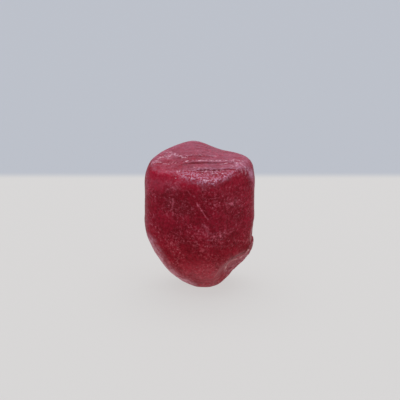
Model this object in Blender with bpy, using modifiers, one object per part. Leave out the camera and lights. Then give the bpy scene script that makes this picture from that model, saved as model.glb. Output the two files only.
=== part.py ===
"""A raw ruby crystal: one water-worn, six-sided corundum crystal, standing on its small flat foot.

Run it with blender --background --python part.py, or from Blender's text editor.
Metres, +Z up, and -Y is the front. The origin is under the middle of the crystal, on the plane it stands on.
The crystal is cut from a block along its face planes, worn round as a river wears it, and then marked with
the ledges, chips and pits that are large enough to feel. Lengths below are in millimetres and angles in
degrees. An azimuth runs round the crystal from 0 at the front, through 90 at the right.
"""

import math

import bmesh
import bpy
import numpy as np
from mathutils import Vector, noise

MM = 0.001

# Driving dimensions
GIRDLE_HEIGHT = 10.6  # where the prism faces are measured
BLOCK_SIDE = 40.0  # the rough block that the faces are cut from
WORN_EDGE = 1.7  # per millimetre: how quickly one face gives way to the next across a worn edge
CRISP_EDGE = 6.0  # the same across an edge that broke later
FINE_GRID = 0.2  # spacing of the surface while it is shaped
MOST_TRIANGLES = 9000

# The six prism faces, 60 degrees apart: how far each stands from the axis at the girdle, and its dip (below)
PRISM_TURN = 8.0  # from the front to the upright edge that points there
PRISM_FACES = {
    "front_right": (5.25, 0.0),
    "right": (6.64, -0.6),
    "back_right": (4.94, 1.0),
    "back_left": (5.1, 1.0),
    "left": (7.03, 0.3),
    "front_left": (4.7, 0.0),
}

# The other worn faces: azimuth, dip of the outward normal above (+) or below (-) the level, and one point on
# the face as its reach from the axis along the azimuth, and its height
CAP_FACES = {
    "crest": (-30.0, 87.0, 0.0, 17.7),
    "right_slope": (88.0, 81.1, 0.0, 17.5),
    "left_slope": (-85.0, 82.0, 3.0, 18.3),
    "front_left_shoulder": (-34.0, 48.0, 4.8, 17.0),
    "left_shoulder": (-80.0, 41.5, 6.8, 16.14),
    "right_shoulder": (84.0, 42.0, 7.05, 17.15),
    "back_right_rhomb": (128.0, 52.0, 6.7, 16.75),
    "back_left_rhomb": (-112.0, 49.9, 6.73, 16.96),
    "back_shoulder": (175.0, 45.1, 5.53, 16.33),
}
FOOT_FACES = {
    "lower_right": (98.0, -35.8, 7.38, 4.95),
    "lower_front_right": (44.0, -43.9, 5.75, 3.45),
    "lower_front": (-8.0, -31.3, 4.53, 3.86),
    "lower_front_left": (-50.0, -38.4, 6.32, 3.75),
    "lower_left": (-90.0, -35.0, 6.7, 5.6),
    "foot_left_bevel": (-72.0, -62.0, 3.95, 0.8),
    "lower_back_left": (-150.0, -33.0, 5.1, 4.4),
    "lower_back": (170.0, -28.0, 5.1, 3.9),
    "lower_back_right": (132.0, -45.6, 6.18, 3.23),
}
# Faces with crisp edges, in the same form
CRISP_FACES = {
    "front_slope": (-10.0, 72.0, 4.85, 15.15),
    "front_left_bevel": (-22.0, 36.0, 4.48, 15.3),
    "back_break": (152.0, 24.0, 5.35, 13.6),
    "foot": (0.0, -90.0, 0.0, -0.18),
}

# The low hump that makes the crest: the middle of its ridge left to right, its half width and its height
HUMP_MIDDLE, HUMP_WIDTH, HUMP_HEIGHT = -0.75, 1.4, 0.36
HUMP_FROM, HUMP_FULL = 13.0, 16.0  # heights between which the hump grows to its full size

# Growth ledges on the sides: height of the rim on the axis and its rise per millimetre to the right, azimuth of
# its middle and half the angle it spans, how far it stands out, and the height over which that fades: upwards
# from the rim where it is above 0, and downwards where it is below
SIDE_LEDGES = {
    "flank_rim_1": (8.4, 0.03, 34.0, 36.0, 0.035, 0.9),
    "flank_rim_2": (7.5, 0.0, 24.0, 30.0, 0.04, 0.7),
    "flank_rim_3": (6.7, -0.04, 30.0, 26.0, 0.025, 0.6),
    "right_lip": (5.8, 0.0, 102.0, 34.0, 0.2, -2.4),
    "back_rim_1": (13.0, 0.1, 172.0, 56.0, 0.09, -1.3),
    "back_rim_2": (11.4, 0.08, 140.0, 46.0, 0.07, -1.2),
    "back_rim_3": (6.9, 0.12, -158.0, 44.0, 0.1, -1.6),
}
# Growth ledges across the cap, the front rims of thin layers: how far left and right each runs, how far back
# its rim lies on the axis and per millimetre to the right, how far it stands up, and over what length to the
# back that fades
CAP_LEDGES = {
    "cap_rim_1": (-3.4, 2.6, -0.35, 0.02, 0.07, 1.0),
    "cap_rim_2": (-2.2, 5.0, -1.65, 0.05, 0.11, 1.1),
    "cap_rim_3": (1.4, 5.6, -2.3, 0.16, 0.08, 0.6),
    "cap_rim_4": (-1.2, 5.4, -3.08, 0.08, 0.12, 0.9),
}
RIM_STEP = 0.1  # the length over which a rim steps out
SIDE_WANDER, CAP_WANDER, WANDER_LENGTH = 0.3, 0.12, 2.0  # how far the rims stray, and over what length

# Shell-shaped chips, each the mark of a ball pressed into the stone: the ball's middle and its radius
CHIPS = {
    "lower_right_chip": ((8.39, -5.78, -1.44), 7.86),
    "lower_right_chip_side": ((8.6, -2.6, -1.5), 5.0),
    "lip_notch": ((9.25, -0.6, 6.8), 3.0),
    "cap_hollow": ((2.9, 3.6, 22.78), 6.0),
    "left_shoulder_chip": ((-5.7, -4.0, 17.6), 1.75),
    "back_left_chip": ((-6.6, 5.2, 16.5), 3.1),
    "back_left_chip_side": ((-4.6, 6.6, 17.3), 3.0),
    "back_foot_chip": ((1.9, 8.4, 1.4), 4.4),
    "right_back_chip": ((9.2, 5.4, 9.8), 4.4),
}
CHIP_EDGE = 5.0  # how crisp the chips' rims are, in the same measure as the faces' edges
SPREAD_TIMES, SPREAD_ROUNDS = 4, 3  # how the points are spread out again where a chip has crowded them

# Swells and pits
SWELL_LENGTH, SWELL_HEIGHT = 3.2, 0.1  # the low waves that water leaves on the faces
PIT_COUNT = 26
PIT_WIDTHS = (0.5, 1.0)
PIT_DEPTHS = (0.04, 0.09)
PIT_SEED = 11


def clear_scene():
    for thing in list(bpy.data.objects):
        bpy.data.objects.remove(thing)


def heading(azimuth, dip=0.0):
    """The unit vector that points outwards at an azimuth and a dip."""
    turn, rise = math.radians(azimuth), math.radians(dip)
    level = Vector((math.sin(turn), -math.cos(turn), 0.0))
    return level * math.cos(rise) + Vector((0.0, 0.0, math.sin(rise)))


def face_plane(azimuth, dip, reach, height):
    """A point on a face, and the face's outward normal."""
    return heading(azimuth) * reach + Vector((0.0, 0.0, height)), heading(azimuth, dip)


def worn_planes():
    planes = []
    for turns, (reach, dip) in enumerate(PRISM_FACES.values()):
        planes.append(face_plane(PRISM_TURN + 30.0 + 60.0 * turns, dip, reach, GIRDLE_HEIGHT))
    planes += [face_plane(*face) for face in (*CAP_FACES.values(), *FOOT_FACES.values())]
    return planes


def crisp_planes():
    return [face_plane(*face) for face in CRISP_FACES.values()]


def cut_away(block, point, normal):
    """Cuts off what lies outside a plane, and closes the cut with one flat face."""
    cut = bmesh.ops.bisect_plane(
        block,
        geom=[*block.verts, *block.edges, *block.faces],
        plane_co=point,
        plane_no=normal,
        clear_outer=True,
    )
    rim = [piece for piece in cut["geom_cut"] if isinstance(piece, bmesh.types.BMEdge)]
    if rim:
        bmesh.ops.contextual_create(block, geom=rim)


def sharp_crystal():
    """The unworn crystal as a mesh: the block with every face plane cut."""
    block = bmesh.new()
    bmesh.ops.create_cube(block, size=BLOCK_SIDE)
    for point, normal in worn_planes() + crisp_planes():
        cut_away(block, point, normal)
    bmesh.ops.scale(block, vec=(MM, MM, MM), verts=block.verts)
    bmesh.ops.recalc_face_normals(block, faces=block.faces)
    mesh = bpy.data.meshes.new("ruby_crystal")
    block.to_mesh(mesh)
    block.free()
    return mesh


def apply_modifiers(thing):
    graph = bpy.context.evaluated_depsgraph_get()
    mesh = bpy.data.meshes.new_from_object(thing.evaluated_get(graph))
    thing.modifiers.clear()
    thing.data = mesh


def even_grid(thing):
    """Spreads the surface's points evenly."""
    remesh = thing.modifiers.new("even_grid", "REMESH")
    remesh.mode = "VOXEL"
    remesh.voxel_size = FINE_GRID * MM
    apply_modifiers(thing)


def read_points(mesh):
    points = np.empty(3 * len(mesh.vertices))
    mesh.vertices.foreach_get("co", points)
    return points.reshape(-1, 3) / MM


def write_points(mesh, points):
    mesh.vertices.foreach_set("co", (points * MM).ravel())
    mesh.update()


def read_normals(mesh):
    normals = np.empty(3 * len(mesh.vertices))
    mesh.vertex_normals.foreach_get("vector", normals)
    return normals.reshape(-1, 3)


def read_edges(mesh):
    ends = np.empty(2 * len(mesh.edges), np.int32)
    mesh.edges.foreach_get("vertices", ends)
    return ends.reshape(-1, 2)


def smoothed(points, ends, rounds):
    """Each point moved towards the mean of its neighbours, several times."""
    count = np.bincount(ends.ravel(), minlength=len(points))
    for _ in range(rounds):
        mean = [
            np.bincount(ends[:, 0], points[ends[:, 1], axis], len(points))
            + np.bincount(ends[:, 1], points[ends[:, 0], axis], len(points))
            for axis in range(3)
        ]
        points = 0.5 * points + 0.5 * np.stack(mean, axis=1) / count[:, None]
    return points


def arrays(planes):
    """The planes' normals, and how far each plane lies from the origin."""
    return np.array([normal for _, normal in planes]), np.array([normal.dot(point) for point, normal in planes])


def blend(distances, slopes, edge):
    """The distance outside several surfaces at once, where each gives way to the next, and its slope."""
    nearest = distances.max(axis=1, keepdims=True)
    shares = np.exp(edge * (distances - nearest))
    total = shares.sum(axis=1, keepdims=True)
    distance = nearest[:, 0] + np.log(total[:, 0]) / edge
    return distance, np.einsum("pf,pfi->pi", shares / total, slopes)


def body_distance(points):
    """How far each point lies outside the worn faces together with the crisp ones, and the slope there."""
    worn, worn_offsets = arrays(worn_planes())
    slopes = np.broadcast_to(worn, (len(points), *worn.shape))
    body, body_slope = blend(points @ worn.T - worn_offsets, slopes, WORN_EDGE)
    crisp, crisp_offsets = arrays(crisp_planes())
    distances = np.column_stack([body, points @ crisp.T - crisp_offsets])
    slopes = np.broadcast_to(crisp, (len(points), *crisp.shape))
    return blend(distances, np.concatenate([body_slope[:, None], slopes], axis=1), CRISP_EDGE)


def stone_distance(points):
    """The same with the chips struck off."""
    distances, slopes = ([each] for each in body_distance(points))
    for middle, radius in CHIPS.values():
        away = np.array(middle) - points
        apart = np.linalg.norm(away, axis=1)
        distances.append(radius - apart)
        slopes.append(away / apart[:, None])
    return blend(np.column_stack(distances), np.stack(slopes, axis=1), CHIP_EDGE)


def wear_round(points):
    """Moves the points onto the worn and chipped crystal."""
    for _ in range(8):
        outside, slope = stone_distance(points)
        points = points - (outside / (slope**2).sum(axis=1))[:, None] * slope
    return points


def raise_hump(points):
    """Lifts the crest into a low hump that runs from front to back."""
    grown = np.clip((points[:, 2] - HUMP_FROM) / (HUMP_FULL - HUMP_FROM), 0.0, 1.0)
    lift = HUMP_HEIGHT * grown * np.exp(-0.5 * ((points[:, 0] - HUMP_MIDDLE) / HUMP_WIDTH) ** 2)
    return points + lift[:, None] * np.array((0.0, 0.0, 1.0))


def rim_step(past, fade):
    """1 just past a rim, 0 before it, and fading to 0 again farther on."""
    return np.clip(past / RIM_STEP, 0.0, 1.0) * np.clip(1.0 - (past - RIM_STEP) / fade, 0.0, 1.0)


def side_ledges(points, stray):
    """How far each point stands out for the ledges on the sides."""
    azimuths = np.degrees(np.arctan2(points[:, 0], -points[:, 1]))
    moved = np.zeros(len(points))
    for height, rise, middle, half, stand_out, fade in SIDE_LEDGES.values():
        apart = np.abs((azimuths - middle + 180.0) % 360.0 - 180.0)
        strength = np.clip(1.5 * (1.0 - apart / half), 0.0, 1.0)
        above = points[:, 2] - height - rise * points[:, 0] + SIDE_WANDER * stray
        moved += stand_out * strength * rim_step(above * np.sign(fade), abs(fade))
    return moved


def cap_ledges(points, normals, stray):
    """The same for the ledges across the cap."""
    on_cap = np.clip(2.0 * normals[:, 2] - 0.8, 0.0, 1.0)
    moved = np.zeros(len(points))
    for left, right, place, turn, stand_out, fade in CAP_LEDGES.values():
        inside = np.minimum(points[:, 0] - left, right - points[:, 0])
        behind = points[:, 1] - place - turn * points[:, 0] + CAP_WANDER * stray
        moved += stand_out * on_cap * np.clip(inside, 0.0, 1.0) * rim_step(behind, fade)
    return moved


def swell_and_ledges(points, normals):
    """How far each point moves for the low waves and for the growth ledges."""
    stray = np.array([noise.fractal(Vector(point) / WANDER_LENGTH, 1.0, 2.0, 2) for point in points])
    swell = np.array([noise.fractal(Vector(point) / SWELL_LENGTH, 1.0, 2.0, 3) for point in points])
    moved = SWELL_HEIGHT * swell + side_ledges(points, stray) + cap_ledges(points, normals, stray)
    return moved[:, None] * normals


def press_ball(points, middle, radius):
    """Pushes the points inside a ball out to its surface, which leaves the ball's hollow in the stone."""
    away = points - np.array(middle)
    distance = np.linalg.norm(away, axis=1, keepdims=True)
    return np.where(distance < radius, np.array(middle) + away * radius / distance, points)


def sink_pits(points, normals):
    """Small round hollows, scattered at random but the same on every run."""
    dice = np.random.default_rng(PIT_SEED)
    for place in dice.choice(len(points), PIT_COUNT, replace=False):
        width, depth = dice.uniform(*PIT_WIDTHS), dice.uniform(*PIT_DEPTHS)
        radius = (width**2 / 4 + depth**2) / (2 * depth)
        points = press_ball(points, points[place] + normals[place] * (radius - depth), radius)
    return points


def carve(mesh):
    points, ends = wear_round(read_points(mesh)), read_edges(mesh)
    for _ in range(SPREAD_TIMES):
        points = wear_round(smoothed(points, ends, SPREAD_ROUNDS))
    points = raise_hump(points)
    write_points(mesh, points)
    write_points(mesh, points + swell_and_ledges(points, read_normals(mesh)))
    write_points(mesh, sink_pits(read_points(mesh), read_normals(mesh)))


def thin_out(thing):
    """Merges the small triangles where the surface is nearly flat."""
    thing.data.calc_loop_triangles()
    decimate = thing.modifiers.new("thin_out", "DECIMATE")
    decimate.ratio = MOST_TRIANGLES / len(thing.data.loop_triangles)
    apply_modifiers(thing)


def cut_foot(mesh):
    """Cuts the stone off level at the plane it stands on."""
    stone = bmesh.new()
    stone.from_mesh(mesh)
    cut_away(stone, Vector(), Vector((0.0, 0.0, -1.0)))
    bmesh.ops.recalc_face_normals(stone, faces=stone.faces)
    stone.to_mesh(mesh)
    stone.free()


def centre(mesh):
    """Brings the middle of the crystal over the origin."""
    points = read_points(mesh)
    middle = (points.min(axis=0) + points.max(axis=0)) / 2
    write_points(mesh, points - middle * (1.0, 1.0, 0.0))


def ruby_finish():
    finish = bpy.data.materials.new("ruby")
    finish.use_nodes = True
    shader = finish.node_tree.nodes["Principled BSDF"]
    shader.inputs["Base Color"].default_value = (0.24, 0.012, 0.03, 1.0)
    shader.inputs["Roughness"].default_value = 0.42
    shader.inputs["Metallic"].default_value = 0.0
    shader.inputs["IOR"].default_value = 1.77
    return finish


def main():
    clear_scene()
    shelf = bpy.data.collections.new("raw_ruby_crystal")
    bpy.context.scene.collection.children.link(shelf)
    crystal = bpy.data.objects.new("ruby_crystal", sharp_crystal())
    shelf.objects.link(crystal)
    even_grid(crystal)
    carve(crystal.data)
    thin_out(crystal)
    cut_foot(crystal.data)
    centre(crystal.data)
    crystal.data.name = "ruby_crystal"
    crystal.data.materials.clear()
    crystal.data.materials.append(ruby_finish())


if __name__ == "__main__":
    main()
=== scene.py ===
"""A raw ruby crystal, water-worn and frosted, on a plain pale floor.

Blender 4.5. It is laid out as an add-on and run as a script. The crystal is cut from a block along its face
planes, worn round, and marked with ledges, chips and pits. Then each place on it is given how worn, how
frosted and how bright it is, partly as painted light and shade, and the finish reads those. The scene is in
metres, with +Z up and -Y the front.
The lengths in the tables are millimetres, and the angles are degrees. An azimuth runs round the crystal from
0 at the front, through 90 at the right.
"""

import math

import bpy
import numpy as np
from bpy.props import FloatProperty, FloatVectorProperty, IntProperty, PointerProperty
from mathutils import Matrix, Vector, noise


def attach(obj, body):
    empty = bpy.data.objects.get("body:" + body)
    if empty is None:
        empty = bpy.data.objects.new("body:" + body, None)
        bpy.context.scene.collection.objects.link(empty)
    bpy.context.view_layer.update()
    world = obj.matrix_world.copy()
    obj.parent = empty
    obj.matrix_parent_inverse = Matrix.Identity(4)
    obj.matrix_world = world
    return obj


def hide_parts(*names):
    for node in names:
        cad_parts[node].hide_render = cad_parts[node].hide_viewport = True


bl_info = {
    "name": "Raw Ruby Crystal",
    "version": (1, 0, 0),
    "blender": (4, 5, 0),
    "location": "3D View > Sidebar > Ruby",
    "description": "Makes a raw, water-worn ruby crystal and the plain studio that it stands in",
    "category": "Add Mesh",
}

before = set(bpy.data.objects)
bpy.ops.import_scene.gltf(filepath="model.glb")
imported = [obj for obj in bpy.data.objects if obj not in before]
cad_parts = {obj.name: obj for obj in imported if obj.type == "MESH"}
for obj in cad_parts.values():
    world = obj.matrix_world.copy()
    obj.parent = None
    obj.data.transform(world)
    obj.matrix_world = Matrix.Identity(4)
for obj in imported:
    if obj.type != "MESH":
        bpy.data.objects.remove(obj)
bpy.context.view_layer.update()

MM = 0.001

# The crystal's shape, in the same values as its solid
GIRDLE_HEIGHT = 10.6  # where the prism faces are measured
BLOCK_SIDE = 40.0
PRISM_TURN = 8.0  # from the front to the upright edge that points there

# The six prism faces, 60 degrees apart: how far each stands from the axis at the girdle, and its dip
PRISM_FACES = {
    "front_right": (5.25, 0.0),
    "right": (6.64, -0.6),
    "back_right": (4.94, 1.0),
    "back_left": (5.1, 1.0),
    "left": (7.03, 0.3),
    "front_left": (4.7, 0.0),
}

# The other worn faces: azimuth, dip of the outward normal, and one point as its reach and its height
CAP_FACES = {
    "crest": (-30.0, 87.0, 0.0, 17.7),
    "right_slope": (88.0, 81.1, 0.0, 17.5),
    "left_slope": (-85.0, 82.0, 3.0, 18.3),
    "front_left_shoulder": (-34.0, 48.0, 4.8, 17.0),
    "left_shoulder": (-80.0, 41.5, 6.8, 16.14),
    "right_shoulder": (84.0, 42.0, 7.05, 17.15),
    "back_right_rhomb": (128.0, 52.0, 6.7, 16.75),
    "back_left_rhomb": (-112.0, 49.9, 6.73, 16.96),
    "back_shoulder": (175.0, 45.1, 5.53, 16.33),
}
FOOT_FACES = {
    "lower_right": (98.0, -35.8, 7.38, 4.95),
    "lower_front_right": (44.0, -43.9, 5.75, 3.45),
    "lower_front": (-8.0, -31.3, 4.53, 3.86),
    "lower_front_left": (-50.0, -38.4, 6.32, 3.75),
    "lower_left": (-90.0, -35.0, 6.7, 5.6),
    "foot_left_bevel": (-72.0, -62.0, 3.95, 0.8),
    "lower_back_left": (-150.0, -33.0, 5.1, 4.4),
    "lower_back": (170.0, -28.0, 5.1, 3.9),
    "lower_back_right": (132.0, -45.6, 6.18, 3.23),
}
CRISP_FACES = {
    "front_slope": (-10.0, 72.0, 4.85, 15.15),
    "front_left_bevel": (-22.0, 36.0, 4.48, 15.3),
    "back_break": (152.0, 24.0, 5.35, 13.6),
    "foot": (0.0, -90.0, 0.0, -0.18),
}

# The low hump that makes the crest: the middle of its ridge left to right, its half width and its height
HUMP_MIDDLE, HUMP_WIDTH, HUMP_HEIGHT = -0.75, 1.4, 0.36
HUMP_FROM, HUMP_FULL = 13.0, 16.0  # heights between which the hump grows to its full size

# Growth ledges on the sides: height of the rim on the axis and its rise per millimetre to the right, azimuth of
# its middle and half the angle it spans, how far it stands out, and the height over which that fades: upwards
# from the rim where it is above 0, and downwards where it is below
SIDE_LEDGES = {
    "flank_rim_1": (8.4, 0.03, 34.0, 36.0, 0.035, 0.9),
    "flank_rim_2": (7.5, 0.0, 24.0, 30.0, 0.04, 0.7),
    "flank_rim_3": (6.7, -0.04, 30.0, 26.0, 0.025, 0.6),
    "right_lip": (5.8, 0.0, 102.0, 34.0, 0.2, -2.4),
    "back_rim_1": (13.0, 0.1, 172.0, 56.0, 0.09, -1.3),
    "back_rim_2": (11.4, 0.08, 140.0, 46.0, 0.07, -1.2),
    "back_rim_3": (6.9, 0.12, -158.0, 44.0, 0.1, -1.6),
}
# Growth ledges across the cap, the front rims of thin layers: how far left and right each runs, how far back
# its rim lies on the axis and per millimetre to the right, how far it stands up, and over what length to the
# back that fades
CAP_LEDGES = {
    "cap_rim_1": (-3.4, 2.6, -0.35, 0.02, 0.07, 1.0),
    "cap_rim_2": (-2.2, 5.0, -1.65, 0.05, 0.11, 1.1),
    "cap_rim_3": (1.4, 5.6, -2.3, 0.16, 0.08, 0.6),
    "cap_rim_4": (-1.2, 5.4, -3.08, 0.08, 0.12, 0.9),
}
RIM_STEP = 0.1  # the length over which a rim steps out
SIDE_WANDER, CAP_WANDER, WANDER_LENGTH = 0.3, 0.12, 2.0  # how far the rims stray, and over what length

# Shell-shaped chips: the middle and the radius of the ball that each looks to have been pressed by
CHIPS = {
    "lower_right_chip": ((8.39, -5.78, -1.44), 7.86),
    "lower_right_chip_side": ((8.6, -2.6, -1.5), 5.0),
    "lip_notch": ((9.25, -0.6, 6.8), 3.0),
    "cap_hollow": ((2.9, 3.6, 22.78), 6.0),
    "left_shoulder_chip": ((-5.7, -4.0, 17.6), 1.75),
    "back_left_chip": ((-6.6, 5.2, 16.5), 3.1),
    "back_left_chip_side": ((-4.6, 6.6, 17.3), 3.0),
    "back_foot_chip": ((1.9, 8.4, 1.4), 4.4),
    "right_back_chip": ((9.2, 5.4, 9.8), 4.4),
}
CHIP_EDGE = 5.0
SPREAD_TIMES, SPREAD_ROUNDS = 4, 12  # how the points are spread out again where a chip has crowded them

SWELL_LENGTH = 3.2  # the low waves that water leaves on the faces
PIT_WIDTHS = (0.3, 0.8)
PIT_DEPTHS = (0.02, 0.06)
PIT_SEED = 11
GRAIN_LENGTH, LUMP_LENGTH = 0.3, 0.6  # the sizes of the fine grain, and of the lumps in the chips

# Frosted marks, some of them painted: a reflection of the pale floor on the lower left and in the chip, frost and
# a reflection of the room along the right edge, and shade above the chip. How strong each is, how wide, and the
# path that it follows over the stone. Below 0 is barer
FROST_MARKS = {
    "left_skirt": (0.2, 0.7, ((-1.6, -4.1, 15.4), (-0.4, -4.6, 15.2), (0.8, -5.0, 15.0), (1.5, -5.1, 15.0))),
    "slope_lip_right": (0.3, 0.5, ((1.8, -4.9, 15.1), (3.1, -4.1, 15.5), (4.1, -3.3, 15.7), (5.0, -2.6, 15.9))),
    "slope_lip_left": (0.2, 0.7, ((-2.2, -3.2, 15.7), (-0.4, -4.1, 15.8), (0.6, -4.8, 15.4), (1.8, -4.9, 15.2))),
    "left_shoulder": (0.08, 1.1, ((-6.3, -0.6, 15.4), (-5.8, 0.2, 16.0), (-5.2, 1.4, 16.2))),
    "bare_cap": (-0.36, 1.8, ((-4.9, -1.2, 16.1), (-2.6, -1.6, 16.2), (-0.6, -1.2, 16.5))),
    "bare_left_crease": (-0.2, 0.9, ((-5.9, -2.0, 15.2), (-4.2, -2.8, 15.4), (-2.9, -3.4, 15.3))),
    "corner_haze": (0.9, 0.9, ((4.8, -1.8, 16.2), (5.8, -1.6, 15.6), (6.3, -1.4, 14.7))),
    "chip_hollow": (0.6, 1.4, ((5.7, -0.8, 4.3), (4.7, -0.4, 3.0), (3.6, -0.3, 1.9))),
    "bare_shade_above_chip": (-0.5, 0.45, ((6.0, -2.0, 5.6), (5.5, -1.9, 4.8), (4.6, -2.5, 4.5), (3.9, -3.3, 4.5))),
    "lower_left_floor_reflection": (1.6, 1.6, ((-5.9, -1.9, 6.2), (-5.1, -2.2, 4.9), (-4.5, -2.2, 3.7), (-3.9, -2.2, 2.9), (-3.3, -2.2, 2.1), (-2.5, -2.0, 1.4), (-1.4, -1.9, 0.6))),
    "upper_left_face": (0.14, 1.8, ((-6.0, -2.2, 14.3), (-3.4, -3.7, 14.5))),
    "left_side": (0.12, 1.2, ((-6.6, -1.6, 14.0), (-6.6, -1.6, 7.6))),
    "right_edge_frost_and_reflection": (0.4, 2.4, ((6.5, 0.3, 15.0), (6.7, 0.4, 11.4), (6.7, 0.4, 7.6))),
    "right_corner_skin": (0.3, 1.0, ((6.2, -1.3, 15.6), (6.4, -1.2, 13.6))),
    "back_skin_1": (0.18, 2.4, ((-5.0, 2.4, 12.6), (-3.4, 3.8, 9.2), (-3.6, 3.6, 6.8))),
    "back_skin_2": (0.22, 1.8, ((2.4, 4.4, 6.2), (4.2, 3.6, 4.4))),
    "back_foot_skin": (0.25, 1.4, ((0.6, 3.6, 2.0), (2.6, 3.0, 1.6))),
    "back_edge": (0.12, 1.2, ((0.2, 5.0, 14.6), (0.0, 5.2, 11.0), (0.2, 5.2, 7.4))),
}
# Thin pale lines, partly frost and partly painted highlights on lit rims, curls, streaks and the chip ridge, in
# the same form
LINE_AND_HIGHLIGHT_MARKS = {
    "back_line_1": (0.5, 0.26, ((-5.6, 1.7, 15.3), (-5.0, 2.2, 15.7), (-4.2, 2.8, 15.9))),
    "back_line_2": (0.4, 0.24, ((0.8, 4.3, 3.6), (1.8, 4.0, 3.2), (2.8, 3.9, 3.5))),
    "corner_streak_1": (1.0, 0.2, ((3.7, -1.3, 16.5), (4.4, -0.7, 16.5), (5.2, -0.9, 16.4), (5.8, -1.5, 15.8), (6.1, -1.7, 14.9))),
    "corner_streak_2": (1.0, 0.2, ((4.3, -1.6, 16.4), (4.9, -1.5, 16.4), (5.5, -1.9, 15.9), (5.6, -2.2, 15.2))),
    "corner_streak_3": (0.9, 0.18, ((3.7, -2.1, 16.3), (4.3, -2.2, 16.2), (5.1, -2.4, 15.9), (5.3, -2.7, 15.3))),
    "cap_curl_1": (1.0, 0.26, ((-5.5, -0.6, 16.1), (-5.0, 0.1, 16.4), (-4.5, 0.4, 16.5), (-4.0, 0.2, 16.5), (-3.6, -0.2, 16.5))),
    "cap_curl_2": (0.8, 0.26, ((-4.3, 1.1, 16.8), (-3.6, 1.1, 16.9), (-3.2, 0.6, 16.8), (-3.6, 0.3, 16.7), (-4.2, 0.6, 16.6))),
    "cap_curl_3": (1.0, 0.28, ((-3.0, 0.5, 16.8), (-2.5, 0.0, 16.7), (-2.1, -0.5, 16.7), (-1.5, -0.4, 16.8))),
    "cap_curl_4": (0.8, 0.24, ((-6.0, -0.9, 15.8), (-5.7, -0.4, 16.0), (-5.2, -0.6, 16.1), (-4.6, -0.8, 16.2))),
    "cap_curl_5": (0.5, 0.3, ((-4.4, -1.0, 16.2), (-3.7, -1.3, 16.2), (-3.2, -1.0, 16.3), (-2.7, -1.4, 16.3))),
    "cap_line_1": (0.5, 0.16, ((-1.7, -0.3, 16.9), (0.4, -0.3, 17.0), (2.0, -0.3, 16.8))),
    "cap_line_2": (1.3, 0.17, ((-1.9, -1.3, 16.5), (0.1, -1.4, 16.7), (2.4, -1.2, 16.6), (4.9, -1.0, 16.5))),
    "cap_line_3": (1.1, 0.17, ((2.6, -2.0, 16.4), (3.5, -1.6, 16.5), (4.2, -1.4, 16.6))),
    "cap_line_4": (0.8, 0.16, ((-0.8, -2.7, 16.2), (1.2, -2.6, 16.3), (3.2, -2.5, 16.4), (4.6, -2.2, 16.3))),
    "lower_left_line": (0.5, 0.6, ((-5.9, -1.9, 6.2), (-5.1, -2.2, 4.9), (-4.5, -2.2, 3.7), (-3.9, -2.2, 2.9), (-3.3, -2.2, 2.1))),
    "chip_ridge": (1.0, 0.26, ((6.1, -1.8, 5.5), (5.9, -1.6, 4.8), (5.6, -1.3, 4.2), (5.1, -1.1, 3.8), (4.6, -1.4, 3.7), (4.0, -2.6, 3.8), (3.5, -2.7, 3.5), (3.2, -1.9, 2.8), (3.1, -1.2, 2.1))),
}
# Where the fine crinkles and specks stand closest and brightest, in the same form
ROSE_MARKS = {
    "front_scratch": (3.0, 0.15, ((-0.35, -4.85, 12.5), (0.3, -5.05, 11.5), (1.0, -5.2, 10.5))),
    "front_arc": (1.1, 0.2, ((-4.4, -3.2, 13.2), (-3.6, -3.5, 13.8), (-2.6, -3.9, 14.1), (-1.6, -4.4, 13.9), (-0.6, -4.8, 13.2))),
    "front_oval": (1.2, 0.42, ((0.55, -5.2, 9.75), (0.95, -5.2, 9.0))),
    "right_face": (0.2, 2.2, ((3.0, -4.4, 13.8), (4.9, -2.9, 12.8), (4.8, -2.9, 10.0))),
    "under_slope": (0.15, 1.6, ((0.4, -5.0, 13.6), (2.4, -4.8, 13.2))),
    "left_patch": (0.35, 1.6, ((-3.6, -3.6, 12.2), (-1.7, -4.4, 11.2))),
    "right_patch": (0.7, 1.1, ((3.4, -4.1, 12.1), (4.9, -2.9, 11.8))),
    "low_patch": (0.5, 1.3, ((1.0, -5.1, 8.8), (2.7, -4.6, 8.3))),
    "speck_1": (3.0, 0.2, ((3.8, -3.9, 12.0), (4.0, -3.8, 12.0))),
    "speck_2": (3.0, 0.17, ((2.6, -4.8, 8.1), (2.6, -4.8, 8.2))),
    "speck_3": (3.0, 0.15, ((-0.1, -5.0, 8.8), (-0.1, -5.0, 8.9))),
    "flank_streak_1": (1.0, 0.2, ((1.7, -5.1, 8.1), (2.6, -4.7, 8.2), (4.6, -3.1, 8.4))),
    "flank_streak_2": (0.7, 0.2, ((1.7, -5.1, 7.4), (3.3, -4.2, 7.2), (4.2, -3.4, 7.3))),
    "back_scratch": (2.0, 0.17, ((-4.2, 3.1, 11.4), (-3.3, 3.8, 10.3), (-2.7, 4.3, 9.0))),
    "back_patch_1": (0.4, 1.8, ((-4.6, 2.7, 5.6), (-2.8, 3.7, 4.4))),
    "back_patch_2": (0.4, 1.8, ((2.6, 4.4, 12.6), (3.8, 3.8, 10.4))),
}
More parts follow.
